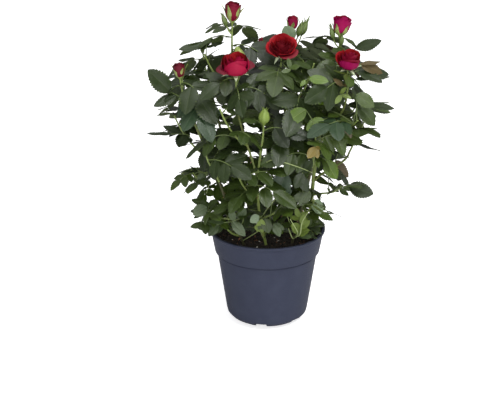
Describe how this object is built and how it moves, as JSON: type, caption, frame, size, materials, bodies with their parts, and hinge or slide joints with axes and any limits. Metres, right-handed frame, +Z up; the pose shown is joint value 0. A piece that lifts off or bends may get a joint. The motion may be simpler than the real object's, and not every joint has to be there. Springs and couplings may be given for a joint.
{
  "type": "rose bush in a pot",
  "caption": "Bushy patio rose in a round tapered nursery pot: canes and boughs rise from the root ball and carry sprays of toothed leaves, buds and open blooms.",
  "frame": {"origin": "middle of the pot's flat underside", "axes": "+Z up, along the pot's axis; -Y towards the side that the picture shows; +X to the right in it"},
  "size_m": [0.3301, 0.2878, 0.4746],
  "materials": {
    "pot_plastic": "satin",
    "compost": "matte",
    "green_bark": "matte",
    "leaf_spray": "satin",
    "flowering_spray": "matte"
  },
  "bodies": {
    "root": {"pot": "pot_plastic", "soil": "compost", "cane_front": "green_bark", "cane_right": "green_bark", "cane_left": "green_bark", "cane_middle": "green_bark", "cane_centre": "green_bark", "cane_back_right": "green_bark", "cane_back_left": "green_bark", "cane_rear": "green_bark", "cane_front_right": "green_bark", "cane_front_left": "green_bark", "bough_front": "green_bark", "bough_right_front": "green_bark", "bough_right": "green_bark", "bough_back": "green_bark", "spray_tall_bud": "flowering_spray", "spray_left_bloom": "flowering_spray", "spray_middle_bloom": "flowering_spray", "spray_back_bud": "flowering_spray", "spray_right_bud": "flowering_spray", "spray_right_bloom": "flowering_spray", "spray_left_bud": "flowering_spray", "spray_green_bud": "flowering_spray", "spray_high_left": "leaf_spray", "spray_left": "leaf_spray", "spray_left_low": "leaf_spray", "spray_front_left": "leaf_spray", "spray_rim_left": "leaf_spray", "spray_front_high": "leaf_spray", "spray_front": "leaf_spray", "spray_front_low": "leaf_spray", "spray_centre": "leaf_spray", "spray_centre_low": "leaf_spray", "spray_centre_right": "leaf_spray", "spray_front_right": "leaf_spray", "spray_rim_right": "leaf_spray", "spray_right": "leaf_spray", "spray_right_front": "leaf_spray", "spray_high_right": "leaf_spray", "spray_right_low": "leaf_spray", "spray_back_right": "leaf_spray", "spray_side_back_right": "leaf_spray", "spray_low_back_right": "leaf_spray", "spray_back_left": "flowering_spray", "spray_side_back_left": "leaf_spray", "spray_low_back_left": "leaf_spray", "spray_rear": "flowering_spray", "spray_rear_right": "leaf_spray", "spray_rear_left": "leaf_spray", "spray_high_back": "leaf_spray", "spray_high_middle": "leaf_spray", "tuft_right": "leaf_spray", "tuft_front": "leaf_spray", "tuft_left": "leaf_spray", "tuft_middle": "leaf_spray", "tuft_front_right": "leaf_spray"}
  },
  "joints": []
}
